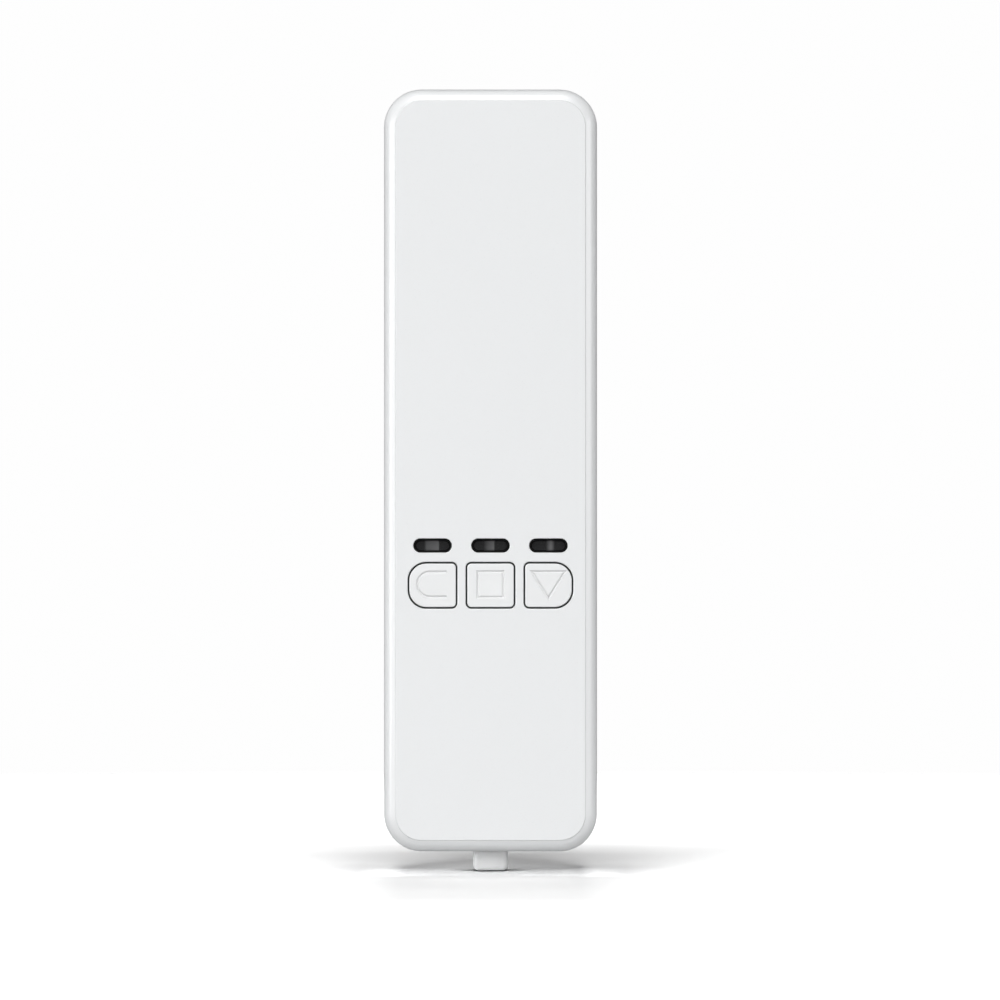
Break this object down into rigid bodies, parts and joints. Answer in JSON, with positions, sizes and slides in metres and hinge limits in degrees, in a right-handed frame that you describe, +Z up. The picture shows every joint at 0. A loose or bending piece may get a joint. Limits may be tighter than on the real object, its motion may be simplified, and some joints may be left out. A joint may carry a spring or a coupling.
{
  "type": "curtain motor",
  "caption": "Slim upright driver for a roller blind's bead chain: rounded casing with keys, indicator windows and a release tab, on a screwed wall bracket.",
  "frame": {"origin": "centre of the wall bracket's back face, on the wall", "axes": "+X along the wall, +Y into the wall, +Z up; the front with its keys faces -Y"},
  "size_m": [0.044, 0.042, 0.1627],
  "materials": {
    "casing": "white satin moulding",
    "bracket": "white nylon moulding",
    "keys": "white satin moulding",
    "window": "smoked light pipe",
    "tab": "grey acetal moulding",
    "inner_plastic": "black glass-filled moulding",
    "gear_plastic": "natural acetal moulding",
    "board": "green solder mask on glass epoxy",
    "chip": "moulded packages",
    "shield": "tinned sheet",
    "led": "clear resin",
    "steel": "ground or drawn steel",
    "screw": "zinc-plated steel",
    "spring_steel": "spring steel",
    "brass": "machined brass",
    "nickel": "nickel strip",
    "cell": null,
    "magnet": "nickel-plated magnet",
    "black_plastic": "black moulding",
    "rubber": "soft black rubber and foam",
    "red_wire": "red insulated wire",
    "black_wire": "black insulated wire",
    "ribbon": "polyimide ribbon"
  },
  "bodies": {
    "bracket": {"wall_bracket": "bracket"},
    "driver": {"battery_cell_left": "cell", "battery_cell_right": "cell", "battery_foam": "rubber", "battery_lead_black": "black_wire", "battery_lead_red": "red_wire", "battery_tabs": "nickel", "battery_tray": "inner_plastic", "board_components": "chip", "board_screws": "screw", "button_guide": "inner_plastic", "case_screws": "screw", "cover_hinge_pin": "steel", "detent_leaf": "spring_steel", "detent_screw": "screw", "encoder_board": "board", "encoder_lead": "ribbon", "front_shell": "casing", "gearbox_case": "inner_plastic", "gearbox_lid": "inner_plastic", "gearbox_screws": "screw", "indicator_leds": "led", "light_shroud": "inner_plastic", "main_board": "board", "motor_can": "steel", "motor_damper": "rubber", "motor_end_cap": "black_plastic", "motor_lead_black": "black_wire", "motor_lead_red": "red_wire", "motor_screws": "screw", "motor_terminals": "brass", "radio_module": "shield", "rear_shell": "casing", "release_spring": "spring_steel", "shaft_bush_front": "brass", "shaft_bush_rear": "brass", "tact_switches": "chip", "usb_c_socket": "shield", "wheel_pin": "steel", "window_left": "window", "window_middle": "window", "window_right": "window", "worm_bush": "brass"},
    "key_up": {"button_up": "keys", "switch_plunger_up": "black_plastic"},
    "key_stop": {"button_stop": "keys", "switch_plunger_stop": "black_plastic"},
    "key_down": {"button_down": "keys", "switch_plunger_down": "black_plastic"},
    "release": {"release_slider": "tab"},
    "cover": {"chain_cover": "casing"},
    "sprocket": {"sprocket": "gear_plastic", "sprocket_screw": "screw", "output_shaft": "steel", "output_gear": "gear_plastic", "shaft_clip": "steel", "encoder_magnet": "magnet"},
    "wheel": {"worm_wheel": "gear_plastic"},
    "rotor": {"motor_shaft": "steel", "worm": "brass"}
  },
  "joints": [
    {"name": "tension_slide", "type": "slide", "parent": "bracket", "child": "driver", "axis": [0, 0, 1], "range_m": [-0.009, 0.006], "deforming": ["detent_leaf"]},
    {"name": "press_up", "type": "slide", "parent": "driver", "child": "key_up", "axis": [0, 1, 0], "range_m": [0, 0.00035], "stiffness_N_per_m": 3000, "springref_m": -0.0001},
    {"name": "press_stop", "type": "slide", "parent": "driver", "child": "key_stop", "axis": [0, 1, 0], "range_m": [0, 0.00035], "stiffness_N_per_m": 3000, "springref_m": -0.0001},
    {"name": "press_down", "type": "slide", "parent": "driver", "child": "key_down", "axis": [0, 1, 0], "range_m": [0, 0.00035], "stiffness_N_per_m": 3000, "springref_m": -0.0001},
    {"name": "release_slide", "type": "slide", "parent": "driver", "child": "release", "axis": [0, 0, 1], "range_m": [0, 0.003], "stiffness_N_per_m": 400, "springref_m": -0.002, "deforming": ["release_spring"]},
    {"name": "cover_hinge", "type": "hinge", "parent": "driver", "child": "cover", "pos_m": [0, -0.002, 0.0647], "axis": [-1, 0, 0], "range_deg": [0, 95]},
    {"name": "sprocket_spin", "type": "hinge", "parent": "driver", "child": "sprocket", "pos_m": [0, -0.0081, 0.08412], "axis": [0, 1, 0], "continuous": true},
    {"name": "wheel_spin", "type": "hinge", "parent": "driver", "child": "wheel", "pos_m": [0.00506, -0.0268, 0.0656], "axis": [0, 1, 0], "continuous": true},
    {"name": "rotor_spin", "type": "hinge", "parent": "driver", "child": "rotor", "pos_m": [-0.00719, -0.0268, 0.0656], "axis": [0, 0, 1], "continuous": true}
  ],
  "couplings": [
    {"joint": "wheel_spin", "follows": "sprocket_spin", "ratio": -3},
    {"joint": "rotor_spin", "follows": "sprocket_spin", "ratio": 78}
  ]
}
